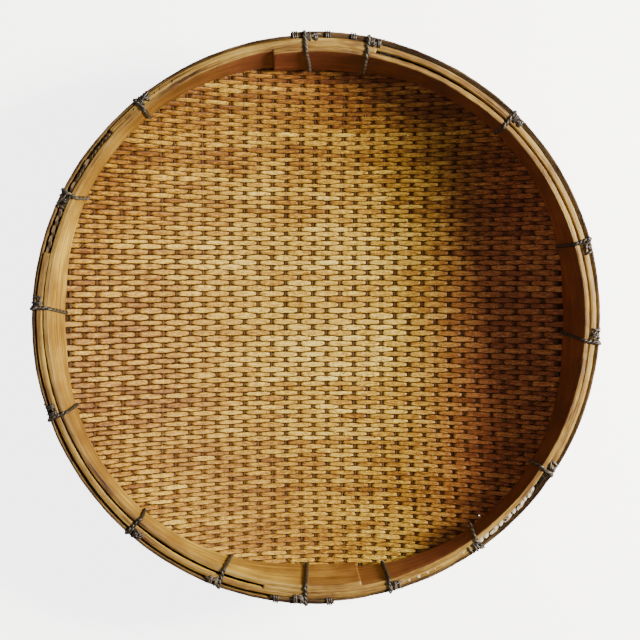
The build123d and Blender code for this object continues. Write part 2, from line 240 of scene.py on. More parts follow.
def splint(shape, x, y, lift, width, thickness, crown, tone, depth, seed, along_x=True):
    """Sweeps a crowned splint along plan positions x, y, lifted off the weave's middle surface."""
    points, normals = surface(x, y, along_x)
    raised = normals * ((1, 0, 1) if along_x else (0, 1, 1))
    square = np.maximum(np.sum(raised**2, axis=1), LEAST_SQUARE)
    points = points + raised * (lift / square)[:, None]
    along = unit(np.gradient(points, axis=0))
    across = unit(np.cross(normals, along))
    up = unit(np.cross(along, across))
    plan_share = np.abs(across[:, 1] if along_x else across[:, 0])
    half_width = width / 2 / np.maximum(plan_share, LEAST_SHARE)
    thickness = np.broadcast_to(thickness, x.shape)[:, None]
    rise = CROWN_HEIGHT * np.where(CROWN_HEIGHT > 0, thickness / 2 + crown, thickness / 2)
    rings = (
        points[:, None]
        + across[:, None] * (CROWN_ACROSS[None, :, None] * half_width[:, None, None])
        + up[:, None] * rise[:, :, None]
    )
    rings[..., 2] = np.maximum(rings[..., 2], 0.0)
    travelled = np.concatenate([[0], np.cumsum(np.linalg.norm(np.diff(points, axis=0), axis=1))])
    sides = len(CROWN_ACROSS)
    coords = np.stack(
        [
            np.repeat(travelled[:, None], sides, 1),
            CROWN_ACROSS[None] * half_width[:, None],
            np.full((len(x), sides), seed),
        ],
        axis=-1,
    )
    marks = np.stack(
        [
            np.repeat(tone[:, None], sides, 1),
            np.repeat(depth[:, None], sides, 1),
            np.repeat(np.abs(CROWN_ACROSS)[None], len(x), 0),
        ],
        axis=-1,
    )
    shape.sweep(rings[:, ::-1], coords[:, ::-1], marks[:, ::-1])


def smooth_step(low, high, value):
    t = np.clip((value - low) / (high - low), 0, 1)
    return t * t * (3 - 2 * t)


class RowEdge:
    """The wandering line between two neighbouring wefts.

    Away from the middle the wefts come in pairs, two broad and two narrow.
    """

    WAVES = ((190.0, 0.24), (83.0, 0.16), (37.0, 0.10))  # (length, height)
    SIZES = (0.6, 1.7)  # how much a line wanders
    PAIRING = (-0.5, 0.0, 0.5, 0.0)  # how far each line of four moves over
    PAIRED_FROM, PAIRED_FULLY = 70, 190  # distances from the middle between which the pairs form

    def __init__(self, place, number):
        self.place = place
        self.phases = rng.uniform(0, 2 * math.pi, len(self.WAVES))
        self.size = rng.uniform(*self.SIZES)
        self.pairing = self.PAIRING[number % len(self.PAIRING)]

    def at(self, x):
        """The line's y at each x."""
        sway = sum(
            height * np.sin(2 * math.pi * x / length + phase)
            for (length, height), phase in zip(self.WAVES, self.phases)
        )
        paired = smooth_step(self.PAIRED_FROM, self.PAIRED_FULLY, np.abs(x))
        return self.place + self.size * sway + self.pairing * paired


def warp_positions():
    side = spread_positions(lambda _: WARP_PITCH, BOWL_RADIUS)
    return np.concatenate([-side[:0:-1], side])


def weft_pitch(distance):
    return WEFT_PITCH + WEFT_PITCH_EXTRA / (1 + (distance / WEFT_PITCH_SPREAD) ** 2)


def weft_rows():
    """{row number: (edge below, edge above)}, from the front of the basket to its back."""
    side = spread_positions(weft_pitch, WEFT_LIMIT + WEFT_PITCH)
    last = max(r for r in range(1, len(side) - 1) if (side[r] + side[r + 1]) / 2 < WEFT_LIMIT)
    places = np.concatenate([-side[last + 1:0:-1], side[:last + 2]])
    edges = [RowEdge((a + b) / 2, n) for n, (a, b) in enumerate(zip(places[:-1], places[1:]))]
    return {n - last: (edges[n], edges[n + 1]) for n in range(len(edges) - 1)}


def climb_run(place, top, steps=6):
    """How far out a splint in an upright plane stands where it turns up and climbs between the hoops."""
    diagonal = diagonal_share(place, BOWL_RADIUS)
    edge_height, start, edge = bowl(BOWL_RADIUS + CORNER_REACH, diagonal)
    slopes = np.linspace(start, WALL_ANGLE, steps + 1)
    turn = edge + TURN_RADIUS * (np.sin(slopes) - math.sin(start))
    turned_height = edge_height + TURN_RADIUS * (math.cos(start) - math.cos(WALL_ANGLE))
    wall = turn[-1] + np.linspace(0, 1, steps + 1)[1:] * (top - turned_height) * LEAN
    return np.sqrt(np.maximum(np.concatenate([turn, wall]) ** 2 - place**2, 0))


def end_top(x, y):
    """Where the end of a splint that climbs at this side is trimmed off."""
    bearing = math.degrees(math.atan2(x, y))
    return (BARE_WEAVE_TOP if in_bare_stretch(bearing) else WEAVE_TOP) + rng.uniform(*TRIM_PLAY)


def splint_run(place, spacing, along_x):
    """Sample positions along a whole splint, from one trimmed end to the other."""
    ends = []
    for sign in (-1, 1):
        at = (sign * BOWL_RADIUS, place) if along_x else (place, sign * BOWL_RADIUS)
        run = climb_run(place, end_top(*at))
        ends.append(run[run > WEFT_SHORTEST])
    reach = min(max(end[0] - spacing, WEFT_SHORTEST - spacing) for end in ends)
    middle = np.linspace(-reach, reach, max(int(2 * reach / spacing), 8))
    return np.concatenate([-ends[0][::-1], middle, ends[1]]), reach


def build_wefts(warps, materials):
    rows = weft_rows()
    last = max(rows)
    bands = {
        "weft_splints_front_edge": range(-last, -last * 2 // 3),
        "weft_splints_front": range(-last * 2 // 3, -last // 4),
        "weft_splints_middle": range(-last // 4, last // 4 + 1),
        "weft_splints_back": range(last // 4 + 1, last * 2 // 3 + 1),
        "weft_splints_back_edge": range(last * 2 // 3 + 1, last + 1),
    }
    warp_number = np.arange(len(warps)) - len(warps) // 2
    for band, numbers in bands.items():
        numbers = list(numbers)
        parts = 3 if band == "weft_splints_middle" else 2
        for part in range(parts):
            shape = Shape()
            first, past = part * len(numbers) // parts, (part + 1) * len(numbers) // parts
            for row in numbers[first:past]:
                add_weft(shape, row, *rows[row], warps, warp_number)
            shape.piece(f"{band}_{part + 1}", materials["weft"], "splint", band)


FLOATS, FIRST_FLOAT = 90, 40  # more floats than a weft has, and the number of one near its middle
WEFT_SPACING, WARP_SPACING = 1.0, 3.0  # between the samples along a splint
SETTLING = 12  # the last stretch of a weft, over which it stops wandering
FLOAT_WIDTH = 1.03  # mean width, as a share of the pitch
BELLY, BELLY_WIDTH = 1.3, 0.20  # how full a float is, and how much wider in its middle
TUCKED_WIDTH, TUCKED_STEEP = 0.10, 0.38  # wider under a warp too, and more where it is steep
STEEP_FROM, STEEP_FULLY = 0.55, 0.92  # shares of the bowl's radius
STRIP_TONES, FLOAT_TONES, WARP_TONES = (3.2, 2.8), (2.2, 2.2), (3, 3)  # for the beta distribution
LIFT_PLAY, WIDTH_PLAY = 0.06, 0.045  # from float to float, as shares
WEFT_CROWN, WARP_CROWN = 0.32, 0.1
WARP_SWAY, SWAY_LENGTHS = 0.15, (25, 40)


def float_bow(swing):
    """From 1 over the middle of a float to -1 under a warp: flat on top, with a sharp dive."""
    bow = np.tanh(DIVE * (swing + DIVE_AT))
    full, under = math.tanh(DIVE * (1 + DIVE_AT)), math.tanh(DIVE * (1 - DIVE_AT))
    return np.where(bow > 0, bow / full, bow / under)


def float_width(swing, steep):
    """A float's width as a share of the pitch."""
    belly = np.tanh(BELLY * swing) / math.tanh(BELLY)
    extra = np.where(belly > 0, BELLY_WIDTH, TUCKED_WIDTH + TUCKED_STEEP * steep)
    return FLOAT_WIDTH + extra * np.abs(belly)


def add_weft(shape, row, lower, upper, warps, warp_number):
    """A weft between two edges. It goes over every other warp and under the rest."""
    place = (lower.place + upper.place) / 2
    x, reach = splint_run(place, WEFT_SPACING, True)
    settle = smooth_step(reach - SETTLING, reach, np.abs(x))
    low, high = (edge.at(x) * (1 - settle) + edge.place * settle for edge in (lower, upper))
    y, pitch = (low + high) / 2, high - low
    crossing = np.interp(x, warps, warp_number)
    swing = np.cos(math.pi * (crossing + row + 1))
    float_number = np.floor((crossing + row) / 2 + 1e-6).astype(int) + FIRST_FLOAT
    strip_tone = rng.beta(*STRIP_TONES)
    float_tone = rng.beta(*FLOAT_TONES, FLOATS)
    lift_play = rng.normal(1.0, LIFT_PLAY, FLOATS)
    width_play = rng.normal(1.0, WIDTH_PLAY, FLOATS)
    tone = (strip_tone + float_tone[float_number]) / 2
    bow = float_bow(swing)
    swollen = smooth_step(SWELL_FROM, SWELL_FULL, height_at(x, y, y))
    lift = WEFT_LIFT * bow * np.where(bow > 0, lift_play[float_number], 1.0) * (1 + SWELL_LIFT * swollen)
    steep = smooth_step(STEEP_FROM, STEEP_FULLY, np.hypot(x, y) / BOWL_RADIUS)
    width = pitch * float_width(swing, steep) * np.where(swing > 0, width_play[float_number], 1.0)
    thickness = WEFT_THICKNESS * (1 + SWELL_THICKNESS * swollen)
    depth = (1 - swing) / 2
    splint(shape, x, y, lift, width, thickness, WEFT_CROWN, tone, depth, rng.uniform(0, SEEDS))


def build_warps(warps, materials):
    third = len(warps) // 3
    groups = {
        "warp_splints_left": warps[:third],
        "warp_splints_middle": warps[third:-third],
        "warp_splints_right": warps[-third:],
    }
    for name, places in groups.items():
        shape = Shape()
        for place in places:
            y, reach = splint_run(place, WARP_SPACING, False)
            x = place + WARP_SWAY * np.sin(y / rng.uniform(*SWAY_LENGTHS) + rng.uniform(0, 6))
            x = np.where(np.abs(y) > reach, place, x)
            tone = np.full(len(y), rng.beta(*WARP_TONES))
            lift, width, depth = (np.full(len(y), value) for value in (0.0, WARP_WIDTH, 0.5))
            seed = rng.uniform(0, SEEDS)
            splint(shape, x, y, lift, width, WARP_THICKNESS, WARP_CROWN, tone, depth, seed, along_x=False)
        shape.piece(name, materials["warp"], "warp", name)


# ---------------------------------------------------------------- rim

LATH_STEP = 0.4  # degrees between the sections of a lath
TOP_WAVES, FACE_WAVES = (310, 97, 41, 13), (270, 71, 23)  # wave lengths along a lath
THICKNESS_WAVES, TONE_WAVES = (190, 53, 17), (410, 133, 47)
FACE_WEAR, THICKNESS_WEAR = 0.35, 0.06  # unevenness of a lath's face and thickness, as shares of its edge's
LOW_WEAR = 0.4  # how far the lower edge follows the worn top edge
LATH_TONE = 0.18
INNER_ROUNDING, OUTER_ROUNDING, FILLER_ROUNDING = 0.9, 0.7, 1.0
INNER_ROUGH, OUTER_ROUGH, FILLER_ROUGH = 0.45, 0.5, 0.35  # how uneven the worn edges are


def lath_profile(width, height, rounding, wall_steps=5):
    """Points round a lath's section, over its top and down its outside first.

    Each is (outward, down, nearness to an edge), from 0 to the width and height.
    """
    points = []
    corners = ((0, 0, 180), (width, 0, 270), (width, height, 0), (0, height, 90))
    for number, (x, z, start) in enumerate(corners):
        cx = rounding if x == 0 else width - rounding
        cz = rounding if z == 0 else height - rounding
        for step in range(4):
            angle = math.radians(start + 30 * step)
            points.append((cx + rounding * math.cos(angle), cz + rounding * math.sin(angle), 1.0))
        if number in (1, 3):
            first, final = (rounding, height - rounding)[:: 1 if number == 1 else -1]
            for step in range(1, wall_steps):
                points.append((x, first + (final - first) * step / wall_steps, 0.0))
    return np.array(points)


def wander(angles, size, lengths, radius):
    """A smooth seeded wobble along a lath."""
    travelled = angles * radius
    return size * sum(
        np.sin(2 * math.pi * travelled / length + rng.uniform(0, 6.28)) / (n + 1)
        for n, length in enumerate(lengths)
    )


def scallop_rise(turns):
    """How far the inner hoop's foot is cut away at these bearings, in radians."""
    reach = INNER_HOOP_RADIUS * np.sin(np.mod(turns, math.pi / 2) - math.pi / 4)
    return np.clip(SCALLOP_DEPTH - SCALLOP_RADIUS + np.sqrt(SCALLOP_RADIUS**2 - reach**2), 0, None)


def add_lath(shape, span, centre_y, radius, thickness, top, height, rounding, rough, foot=None):
    """A bent lath with a worn, slightly uneven edge. foot gives how far its lower edge is cut away."""
    turns = np.radians(np.arange(span[0], span[1] + LATH_STEP / 2, LATH_STEP))
    profile = lath_profile(thickness, height, rounding)
    top_play = wander(turns, rough, TOP_WAVES, radius)
    face_play = wander(turns, rough * FACE_WEAR, FACE_WAVES, radius)
    thick_play = 1 + wander(turns, rough * THICKNESS_WEAR, THICKNESS_WAVES, radius)
    out = profile[None, :, 0] * thick_play[:, None] + face_play[:, None]
    worn_down = np.clip(rough / 2 - top_play, 0, None)
    down = profile[None, :, 1] + worn_down[:, None] * np.where(profile[:, 1] < height / 2, 1, LOW_WEAR)
    if foot is not None:
        down = down - foot(turns)[:, None] * (profile[:, 1] / height)[None]
    reach = radius + out - down * LEAN
    x = reach * np.sin(turns)[:, None]
    y = reach * np.cos(turns)[:, None] + centre_y
    rings = np.stack([x, y, top - down], axis=-1)
    around = np.concatenate([[0], np.cumsum(np.hypot(*np.diff(profile[:, :2], axis=0).T))])
    coords = np.stack(
        [
            np.repeat((turns * radius)[:, None], len(profile), 1),
            np.repeat(around[None], len(turns), 0),
            np.full((len(turns), len(profile)), rng.uniform(0, SEEDS)),
        ],
        axis=-1,
    )
    tone = 0.5 + wander(turns, LATH_TONE, TONE_WAVES, radius)
    top_face = np.clip(1 - profile[:, 1] / (1.6 * rounding), 0, 1)
    marks = np.stack(
        [
            np.repeat(tone[:, None], len(profile), 1),
            np.repeat(top_face[None], len(turns), 0),
            np.repeat(profile[None, :, 2], len(turns), 0),
        ],
        axis=-1,
    )
    shape.sweep(rings[:, ::-1], coords[:, ::-1], marks[:, ::-1])


def build_rim(materials):
    laths = (
        ("inner_hoop_right", INNER_RIGHT_SPAN, -INNER_LAP, "inner"),
        ("inner_hoop_left", INNER_LEFT_SPAN, INNER_LAP, "inner"),
        ("outer_hoop_right", OUTER_RIGHT_SPAN, OUTER_LAP, "outer"),
        ("outer_hoop_left", OUTER_LEFT_SPAN, -OUTER_LAP, "outer"),
    )
    for name, span, centre_y, kind in laths:
        shape = Shape()
        if kind == "inner":
            add_lath(
                shape, span, centre_y, INNER_HOOP_RADIUS, INNER_HOOP_THICKNESS + INNER_EXTRA, RIM_TOP,
                INNER_HOOP_HEIGHT, INNER_ROUNDING, INNER_ROUGH, scallop_rise,
            )
        else:
            add_lath(
                shape, span, centre_y, OUTER_HOOP_RADIUS - OUTER_HOOP_THICKNESS, OUTER_HOOP_THICKNESS,
                OUTER_TOP, OUTER_HOOP_HEIGHT, OUTER_ROUNDING, OUTER_ROUGH,
            )
        shape.piece(name, materials[kind], "hoop", name)
    for name, span in (("rim_filler_right", FILLER_RIGHT_SPAN), ("rim_filler_left", FILLER_LEFT_SPAN)):
        shape = Shape()
        add_lath(
            shape, span, 0, FILLER_RADIUS - FILLER_INWARD, FILLER_WIDTH + FILLER_EXTRA, RIM_TOP,
            FILLER_HEIGHT, FILLER_ROUNDING, FILLER_ROUGH,
        )
        shape.piece(name, materials["filler"], "filler", name)


# ---------------------------------------------------------------- ties

OFF_AXIS = np.array([0.31, 0.17, 0.93])  # a direction that no strand follows
SWELLS = ((2.1, 0.12, 1), (0.9, 0.08, 2))  # (length, share, shift) of the waves in a strand's thickness
STRAND_FLATNESS = 0.8
STRAND_SEEDS = 99
TIE_GAP = 1.2  # between a tie's line and the laths it lies on
TWIST_RADIUS, TWIST_PITCH, TWIST_STRAND = 0.9, 9.0, 1.2
KNOT_INWARD = 5.0  # from the outer hoop's face to the middle of a knot
KNOT_STRAND, STITCH_STRAND = 1.05, 0.75
LOOSE_STRANDS, LOOSE_SIZES = 3, (0.6, 0.85)


def smooth_path(corners, samples, closed=False):
    """A Catmull-Rom curve through points. A closed one ends on its first point."""
    p = np.asarray(corners, float)
    p = np.concatenate([p[-1:], p, p[:2]]) if closed else np.concatenate([p[:1], p, p[-1:]])
    spans = len(p) - 3
    t = np.linspace(0, spans, samples, endpoint=not closed)
    i = np.minimum(t.astype(int), spans - 1)
    f = (t - i)[:, None]
    a, b, c, d = p[i], p[i + 1], p[i + 2], p[i + 3]
    path = 0.5 * (2 * b + (c - a) * f + (2 * a - 5 * b + 4 * c - d) * f**2 + (3 * b - 3 * c + d - a) * f**3)
    return np.concatenate([path, path[:1]]) if closed else path


def add_strand(shape, path, radius, seed, sides=7):
    """A strand of split cane, a little flattened and uneven."""
    along = unit(np.gradient(path, axis=0))
    side = unit(np.cross(along, OFF_AXIS))
    other = np.cross(along, side)
    travelled = np.concatenate([[0], np.cumsum(np.linalg.norm(np.diff(path, axis=0), axis=1))])
    waves = (share * np.sin(travelled / length + shift * seed) for length, share, shift in SWELLS)
    swell = radius * (1 + sum(waves))
    turn = np.linspace(0, 2 * math.pi, sides, endpoint=False)
    rings = (
        path[:, None]
        + side[:, None] * (np.cos(turn)[None, :, None] * swell[:, None, None])
        + other[:, None] * (STRAND_FLATNESS * np.sin(turn)[None, :, None] * swell[:, None, None])
    )
    coords = np.stack(
        [
            np.repeat(travelled[:, None], sides, 1),
            np.repeat((turn * radius)[None], len(path), 0),
            np.full((len(path), sides), seed),
        ],
        axis=-1,
    )
    marks = np.full(coords.shape, 0.5)
    marks[..., 0] += 0.3 * np.sin(seed * 7)
    shape.sweep(rings, coords, marks)


def rim_shift(bearing, right_span, left_span, lap):
    """How far the nearest lath stands out of its nominal circle here."""
    back = math.cos(math.radians(bearing))
    shifts = []
    if right_span[0] <= (bearing + 180) % 360 - 180 <= right_span[1]:
        shifts.append(back * lap)
    if bearing % 360 >= left_span[0] or bearing % 360 <= left_span[1] - 360:
        shifts.append(-back * lap)
    return max(shifts) if shifts else lap


class RimSection:
    """Places points in the rim's section at a bearing: (radius, sideways, height)."""

    def __init__(self, bearing):
        self.angle = math.radians(bearing)
        self.inside = INNER_HOOP_RADIUS - rim_shift(bearing, INNER_RIGHT_SPAN, INNER_LEFT_SPAN, INNER_LAP)
        self.outside = OUTER_HOOP_RADIUS + rim_shift(bearing, OUTER_RIGHT_SPAN, OUTER_LEFT_SPAN, OUTER_LAP)
        inner_height = INNER_HOOP_HEIGHT - float(scallop_rise(self.angle))
        self.inner_foot = self.inside - inner_height * LEAN
        self.outer_foot = self.outside - OUTER_HOOP_HEIGHT * LEAN
        self.low_in = RIM_TOP - inner_height
        self.low_out = OUTER_TOP - OUTER_HOOP_HEIGHT

    def place(self, local):
        local = np.asarray(local, float)
        out, side, height = local[:, 0], local[:, 1], local[:, 2]
        turn = self.angle + side / RIM_MIDDLE
        return np.stack([out * np.sin(turn), out * np.cos(turn), height], axis=-1)


def twist(local, offset, radius, pitch):
    """Winds a path round its own line, as one strand of a twisted pair."""
    along = unit(np.gradient(local, axis=0))
    side = np.array([0.0, 1.0, 0.0])
    first = unit(side - along * (along @ side)[:, None])
    second = np.cross(along, first)
    travelled = np.concatenate([[0], np.cumsum(np.linalg.norm(np.diff(local, axis=0), axis=1))])
    phase = 2 * math.pi * travelled / pitch + offset
    return local + radius * (first * np.cos(phase)[:, None] + second * np.sin(phase)[:, None])


def tie_line(s, drift, knot_side):
    """The closed line of a tie: up the inner face, over the rim, down the outside and back below."""
    inner_height, outer_height = RIM_TOP - s.low_in, OUTER_TOP - s.low_out

    def inner(share, side):
        return s.inside - TIE_GAP - share * inner_height * LEAN, side, RIM_TOP - share * inner_height

    def outer(share, side):
        return s.outside + 0.3 - share * outer_height * LEAN, side, OUTER_TOP - share * outer_height

    corners = [
        inner(0.97, drift), inner(0.72, drift * 0.8), inner(0.35, drift * 0.4), inner(0.04, drift * 0.1),
        (s.inside + 1.2, 0, RIM_TOP + TIE_GAP),
        (s.inside + 7.0, -0.5 * knot_side, RIM_TOP + TIE_GAP * 0.6),
        (s.outside - 3.5, -knot_side, RIM_TOP + TIE_GAP * 0.7),
        outer(0.02, -1.5 * knot_side), outer(0.3, -0.5 * knot_side), outer(0.7, 0.5 * knot_side),
        outer(0.98, knot_side),
        (s.outer_foot - 3.5, knot_side, s.low_out - 2.4),
        (s.inner_foot + 2.5, drift * 0.6, s.low_in - 2.6),
    ]
    return smooth_path(corners, 150, closed=True)


def knot_line(s, knot_side):
    """Turns round the filler and the outer hoop's top edge, drifting sideways."""
    turns = rng.integers(3, 5)
    phase = np.linspace(0, 2 * math.pi * turns, 46 * turns)
    wind = knot_side * np.linspace(0.5, rng.uniform(9, 15), len(phase))
    out = s.outside - KNOT_INWARD + (4.4 + 0.5 * np.sin(2.3 * phase)) * np.cos(phase)
    height = RIM_TOP - 2.2 + (3.6 + 0.3 * np.cos(1.7 * phase)) * np.sin(phase)
    return np.stack([out, wind + 1.1 * np.sin(phase / 2), height], axis=-1)


def loose_line(s, knot_side):
    """A strand that crosses over the knot and ends just past it."""
    a, b = rng.uniform(-2, 4), rng.uniform(6, 13)
    near, far = rng.uniform(-10.5, -3), rng.uniform(-9, -1.2)
    corners = [
        (s.outside + near, knot_side * a, RIM_TOP + 0.6),
        (s.outside + (near + far) / 2 + rng.uniform(-1, 1), knot_side * (a + b) / 2, RIM_TOP + 1.9),
        (s.outside + far, knot_side * b, RIM_TOP + 0.4),
        (s.outside + far + rng.uniform(-1.0, 0.3), knot_side * (b + 2), RIM_TOP - 1),
    ]
    return smooth_path(corners, 24)


def add_tie(shape, bearing):
    """A twisted pair up the inner face and over both hoops, finished with a knot on the rim's top."""
    s = RimSection(bearing)
    drift = rng.uniform(-6, 6)
    knot_side = rng.choice([-1, 1])
    line = tie_line(s, drift, knot_side)
    for strand in range(2):
        path = s.place(twist(line, math.pi * strand, TWIST_RADIUS, TWIST_PITCH))
        add_strand(shape, path, TWIST_STRAND, rng.uniform(0, STRAND_SEEDS))
    path = s.place(knot_line(s, knot_side))
    add_strand(shape, path, KNOT_STRAND, rng.uniform(0, STRAND_SEEDS))
    for _ in range(LOOSE_STRANDS):
        path = s.place(loose_line(s, knot_side))
        add_strand(shape, path, rng.uniform(*LOOSE_SIZES), rng.uniform(0, STRAND_SEEDS))


def add_stitch(shape, bearing):
    """Three turns of cane round the outer hoop's lap, just below its top edge."""
    s = RimSection(bearing)
    thick = 2 * OUTER_HOOP_THICKNESS + 1
    for turn in range(3):
        side = 1.9 * (turn - 1)
        loop = [
            (s.outside + 0.8, side, OUTER_TOP - 1),
            (s.outside + 0.6 - 8 * LEAN, side + 0.8, OUTER_TOP - 9),
            (s.outside - thick / 2 - 8 * LEAN, side + 1.2, OUTER_TOP - 10.5),
            (s.outside - thick - 0.6 - 7 * LEAN, side + 1.4, OUTER_TOP - 8),
            (s.outside - thick - 0.4, side + 1.0, OUTER_TOP - 0.5),
            (s.outside - thick / 2, side + 0.4, OUTER_TOP + 1.1),
        ]
        path = s.place(smooth_path(loop, 60, closed=True))
        add_strand(shape, path, STITCH_STRAND, rng.uniform(0, STRAND_SEEDS))


def build_ties(materials):
    for number, bearing in enumerate(TIE_BEARINGS, start=1):
        shape = Shape()
        add_tie(shape, bearing)
        shape.piece(f"rim_tie_{number:02d}", materials["tie"], "tie", f"rim_tie_{number:02d}")
    stitches = {"splice_stitches_back": BACK_STITCH_BEARINGS, "splice_stitches_front": FRONT_STITCH_BEARINGS}
    for name, bearings in stitches.items():
        shape = Shape()
        for bearing in bearings:
            add_stitch(shape, bearing)
        shape.piece(name, materials["tie"], "tie", name)


# ---------------------------------------------------------------- materials

class Nodes:
    """Short calls for building a material's node tree."""

    def __init__(self, name):
        self.material = bpy.data.materials.new(name)
        self.material.use_nodes = True
        self.tree = self.material.node_tree
        self.tree.nodes.clear()
        self.out = self.tree.nodes.new("ShaderNodeOutputMaterial")

    def link(self, source, target):
        self.tree.links.new(source, target)

    def feed(self, socket, value):
        if hasattr(value, "is_output"):
            self.link(value, socket)
        else:
            socket.default_value = value

    def attribute(self, name):
        node = self.tree.nodes.new("ShaderNodeAttribute")
        node.attribute_name = name
        return node.outputs["Vector"]

    def split(self, vector):
        node = self.tree.nodes.new("ShaderNodeSeparateXYZ")
        self.feed(node.inputs[0], vector)
        return node.outputs

    def join(self, x, y, z):
        node = self.tree.nodes.new("ShaderNodeCombineXYZ")
        for socket, value in zip(node.inputs, (x, y, z)):
            self.feed(socket, value)
        return node.outputs[0]

    def length(self, vector):
        node = self.tree.nodes.new("ShaderNodeVectorMath")
        node.operation = "LENGTH"
        self.feed(node.inputs[0], vector)
        return node.outputs["Value"]

    def math(self, operation, a, b=0.0, c=0.0, clamp=False):
        node = self.tree.nodes.new("ShaderNodeMath")
        node.operation = operation
        node.use_clamp = clamp
        for socket, value in zip(node.inputs, (a, b, c)):
            self.feed(socket, value)
        return node.outputs[0]

    def remap(self, value, low, high, to_low=0.0, to_high=1.0):
        node = self.tree.nodes.new("ShaderNodeMapRange")
        node.interpolation_type = "SMOOTHSTEP"
        for socket, given in zip(node.inputs, (value, low, high, to_low, to_high)):
            self.feed(socket, given)
        return node.outputs[0]

    def scaled(self, value, factor):
        return self.math("MULTIPLY", value, factor)

    def swing(self, value, size):
        """A value from 0 to 1 turned into one from -size / 2 to size / 2."""
        return self.math("MULTIPLY_ADD", value, size, -size / 2)

    def total(self, value, *others):
        for other in others:
            value = self.math("ADD", value, other)
        return value

    def noise(self, vector, scale, detail=3.0, roughness=0.55):
        node = self.tree.nodes.new("ShaderNodeTexNoise")
        self.feed(node.inputs["Vector"], vector)
        node.inputs["Scale"].default_value = scale
        node.inputs["Detail"].default_value = detail
        node.inputs["Roughness"].default_value = roughness
        return node.outputs["Fac"]

    def strong_noise(self, *args):
        """Noise spread over the whole of 0 to 1."""
        return self.remap(self.noise(*args), 0.30, 0.70)

    def ramp(self, value, stops):
        node = self.tree.nodes.new("ShaderNodeValToRGB")
        elements = node.color_ramp.elements
        while len(elements) < len(stops):
            elements.new(0.5)
        for element, (place, color) in zip(elements, stops):
            element.position = place
            element.color = (*color, 1)
        self.feed(node.inputs[0], value)
        return node.outputs[0]

    def mix(self, share, a, b, blend="MIX"):
        node = self.tree.nodes.new("ShaderNodeMix")
        node.data_type = "RGBA"
        node.blend_type = blend
        self.feed(node.inputs[0], share)
        for socket, value in ((node.inputs[6], a), (node.inputs[7], b)):
            if isinstance(value, tuple):
                value = (*value, 1) if len(value) == 3 else value
            self.feed(socket, value)
        return node.outputs[2]

    def bump(self, height, strength, distance):
        node = self.tree.nodes.new("ShaderNodeBump")
        node.inputs["Strength"].default_value = strength
        node.inputs["Distance"].default_value = distance
        self.feed(node.inputs["Height"], height)
        return node.outputs[0]

    def surface(self, color, roughness, normal=None, specular=0.5, coat=0.0):
        node = self.tree.nodes.new("ShaderNodeBsdfPrincipled")
        self.feed(node.inputs["Base Color"], color)
        self.feed(node.inputs["Roughness"], roughness)
        self.feed(node.inputs["Specular IOR Level"], specular)
        node.inputs["Coat Weight"].default_value = coat
        node.inputs["Coat Roughness"].default_value = COAT_ROUGHNESS
        if normal is not None:
            self.link(normal, node.inputs["Normal"])
        self.link(node.outputs[0], self.out.inputs["Surface"])
        return self.material


COAT_ROUGHNESS = 0.35

PALE_STRAW = (0.82, 0.64, 0.18)
STRAW = (0.57, 0.38, 0.058)
HONEY = (0.39, 0.220, 0.026)
AMBER = (0.26, 0.120, 0.013)
BROWN = (0.12, 0.042, 0.009)
UMBER = (0.022, 0.009, 0.004)
LEFT_SHADE = (1.0, 0.95, 0.72)  # multiplies the weave's colour at the left
GREY_END = (0.42, 0.37, 0.30)  # trimmed ends at the right
DULL_END = (0.17, 0.115, 0.065)  # and at the left

# Colour stops for the ramps, from dark to light
WEFT_STOPS = ((0.0, BROWN), (0.20, AMBER), (0.40, HONEY), (0.64, STRAW), (0.95, PALE_STRAW))
WEFT_REDS = ((0.05, (0.11, 0.021, 0.012)), (0.40, (0.34, 0.080, 0.035)), (0.80, (0.55, 0.19, 0.07)))
# the warps show only in the joints between the floats, so they are coloured nearly black: painted shade
WARP_SHADE_STOPS = ((0.2, UMBER), (0.5, (0.08, 0.040, 0.018)), (0.85, (0.17, 0.10, 0.055)))
# painted shade on the inner hoop's faces towards the right and the back
LATH_REDS = ((0.25, (0.055, 0.009, 0.006)), (0.6, (0.13, 0.021, 0.013)), (0.95, (0.22, 0.05, 0.025)))
INNER_SIDE = (
    (0.2, (0.12, 0.050, 0.010)), (0.45, (0.20, 0.098, 0.014)), (0.70, (0.30, 0.172, 0.028)), (1.0, STRAW)
)
INNER_EDGE = (
    (0.1, UMBER), (0.30, (0.12, 0.052, 0.012)), (0.55, (0.21, 0.115, 0.018)), (0.9, (0.35, 0.23, 0.055))
)
OUTER_SIDE = ((0.15, (0.07, 0.033, 0.010)), (0.45, (0.17, 0.098, 0.024)), (0.80, (0.29, 0.18, 0.045)))
OUTER_EDGE = ((0.1, UMBER), (0.45, (0.030, 0.015, 0.008)), (0.85, (0.11, 0.065, 0.028)))
FILLER_SIDE = ((0.15, AMBER), (0.45, HONEY), (0.75, STRAW))
FILLER_EDGE = (
    (0.1, UMBER), (0.30, (0.12, 0.052, 0.012)), (0.55, (0.22, 0.122, 0.020)), (0.9, (0.37, 0.25, 0.06))
)
TIE_STOPS = (
    (0.33, (0.008, 0.006, 0.004)), (0.55, (0.035, 0.025, 0.017)), (0.72, (0.12, 0.09, 0.06)),
    (0.88, (0.36, 0.29, 0.20)),
)

# Where a look begins and where it is full, in metres: distances from the axis, x, y or heights
WORN_MIDDLE, DULL_OUTSIDE = (0.17, 0.03), (0.10, 0.25)
# the last pair darkens the weave towards the back: painted shade from the back hoop
LEFT_TINT, DARK_LEFT, BACK_SHADE = (-0.06, -0.24), (-0.12, -0.24), (0.12, 0.26)
# redder towards the right and the back: partly stain, partly painted shade from the hoops
RED_RIGHT, RED_BACK = (0.088, 0.195), (0.19, 0.28)
RED_LATHS = (-0.16, 0.05)
# the first pair is the painted shade on the splints down in the slot between the hoops
SLOT_SHADE, TRIMMED_ENDS = (0.112, 0.124), (0.1310, 0.1330)
ENDS_LEFT_TO_RIGHT = (-0.1, 0.1)


